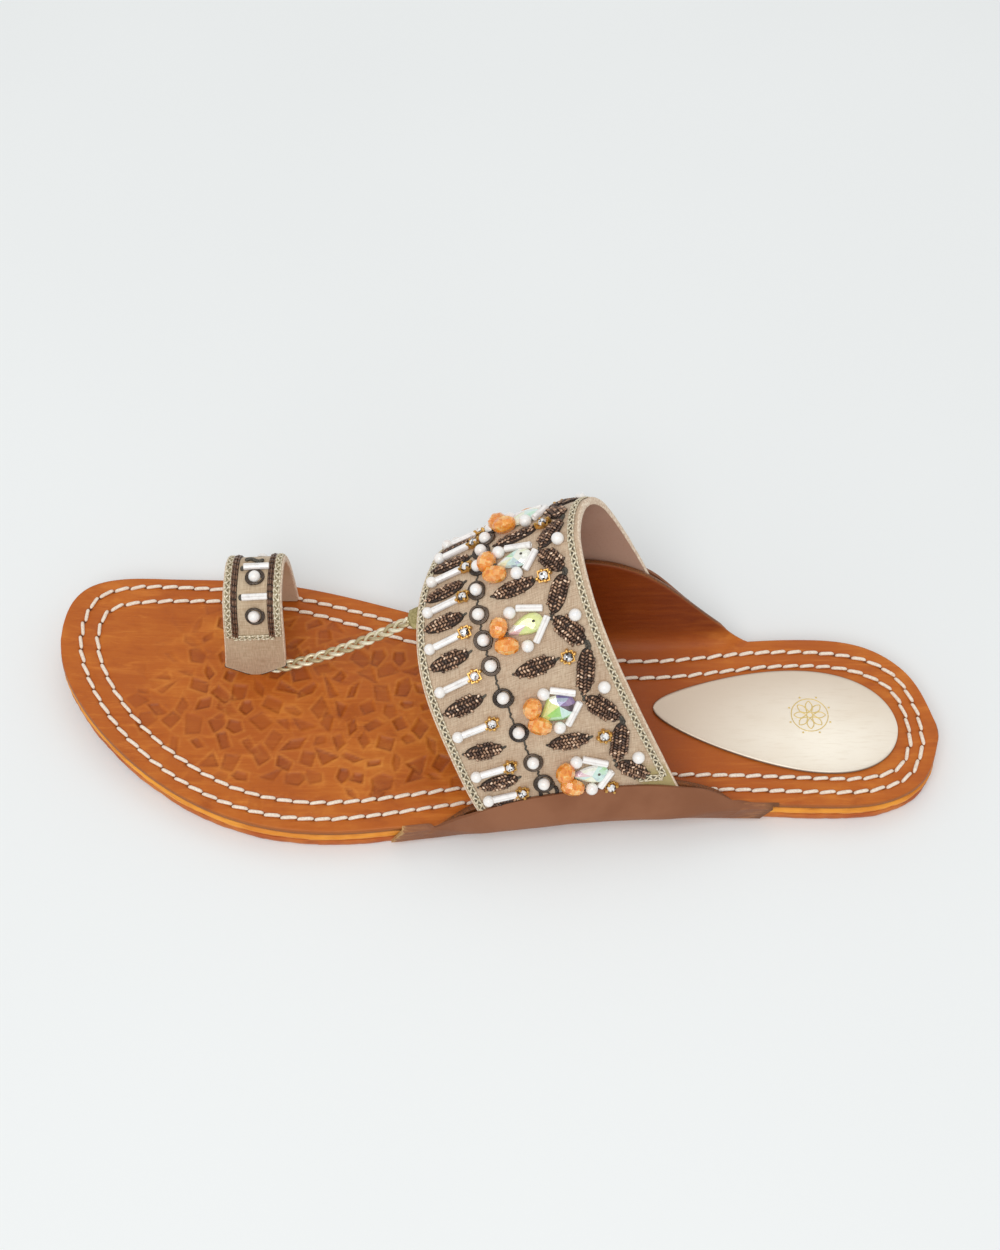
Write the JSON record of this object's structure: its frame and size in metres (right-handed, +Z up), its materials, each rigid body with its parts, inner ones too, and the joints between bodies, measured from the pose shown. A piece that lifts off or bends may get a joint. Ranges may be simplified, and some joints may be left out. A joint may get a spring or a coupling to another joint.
{
  "type": "kolhapuri sandal",
  "caption": "Flat leather slip-on sandal for the left foot, with a beaded instep band, a toe loop and a plaited cord between them.",
  "frame": {"origin": "bottom centre of the sandal's bounding box, on the ground", "axes": "+X from toe to heel, +Y towards the inner (big-toe) side, +Z up"},
  "size_m": [0.2558, 0.0866, 0.0673],
  "materials": {
    "outsole_leather": "thick vegetable-tanned leather, orange-brown, dark along its lower edge",
    "edge_leather": "cut edge of pale leather dyed yellow-orange",
    "footbed_leather": "streaked orange-tan leather, semi-gloss, embossed over the forefoot",
    "cover_leather": "smooth pinkish-brown leather",
    "raw_silk": "beige raw silk on a taupe lining",
    "gold_cord": "cream and gold metallic cord",
    "champagne_foil": "pale champagne metallic leather",
    "thread": "thick waxed cream thread",
    "pearl": "glossy white imitation pearl",
    "bead": "small antique-brown beads with gold glints",
    "crystal": "faceted glass stones, amber and clear"
  },
  "bodies": {
    "root": {"outsole": "outsole_leather", "midsole": "edge_leather", "topsole": "footbed_leather", "upper_band": "raw_silk", "toe_loop": "raw_silk", "toe_braid": "gold_cord", "ear_cover_lateral": "cover_leather", "ear_cover_medial": "cover_leather", "heel_pad": "champagne_foil"}
  },
  "joints": []
}
